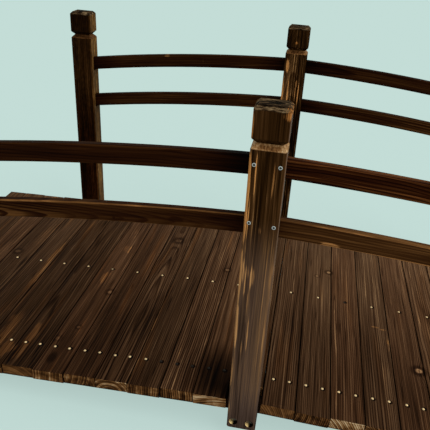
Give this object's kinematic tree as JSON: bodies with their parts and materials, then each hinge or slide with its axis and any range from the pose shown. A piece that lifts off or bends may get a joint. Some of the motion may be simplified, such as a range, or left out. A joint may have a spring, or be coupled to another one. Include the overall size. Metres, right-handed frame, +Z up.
{
  "type": "garden moon bridge",
  "caption": "Low arched garden footbridge of charred softwood: planked deck on straight beams, grooved square posts and bowed double rails along both sides.",
  "frame": {"origin": "on the ground under the middle of the deck", "axes": "+X along the bridge to its right end, +Y across it to the back railing, +Z up"},
  "size_m": [1.497, 0.623, 0.5804],
  "materials": {
    "deck_wood": "charred, brushed and oiled softwood, satin",
    "beam_wood": "charred softwood, matt",
    "post_wood": "charred, brushed and oiled softwood with worn edges, satin",
    "rail_wood": "charred, brushed and oiled softwood, satin",
    "fixing_steel": "zinc-plated, dulled"
  },
  "bodies": {
    "root": {"deck_plank_01": "deck_wood", "deck_plank_02": "deck_wood", "deck_plank_03": "deck_wood", "deck_plank_04": "deck_wood", "deck_plank_05": "deck_wood", "deck_plank_06": "deck_wood", "deck_plank_07": "deck_wood", "deck_plank_08": "deck_wood", "deck_plank_09": "deck_wood", "deck_plank_10": "deck_wood", "deck_plank_11": "deck_wood", "deck_plank_12": "deck_wood", "deck_plank_13": "deck_wood", "deck_plank_14": "deck_wood", "deck_plank_15": "deck_wood", "deck_plank_16": "deck_wood", "deck_plank_17": "deck_wood", "deck_plank_18": "deck_wood", "deck_plank_19": "deck_wood", "deck_plank_20": "deck_wood", "deck_plank_21": "deck_wood", "deck_plank_22": "deck_wood", "deck_plank_23": "deck_wood", "deck_plank_24": "deck_wood", "deck_plank_25": "deck_wood", "deck_plank_26": "deck_wood", "deck_plank_27": "deck_wood", "front_beam_left": "beam_wood", "front_beam_right": "beam_wood", "centre_beam_left": "beam_wood", "centre_beam_right": "beam_wood", "back_beam_left": "beam_wood", "back_beam_right": "beam_wood", "front_left_post": "post_wood", "front_middle_post": "post_wood", "front_right_post": "post_wood", "back_left_post": "post_wood", "back_middle_post": "post_wood", "back_right_post": "post_wood", "front_upper_rail_left": "rail_wood", "front_upper_rail_right": "rail_wood", "front_lower_rail_left": "rail_wood", "front_lower_rail_right": "rail_wood", "back_upper_rail_left": "rail_wood", "back_upper_rail_right": "rail_wood", "back_lower_rail_left": "rail_wood", "back_lower_rail_right": "rail_wood", "front_post_bolts": "fixing_steel", "back_post_bolts": "fixing_steel"}
  },
  "joints": []
}
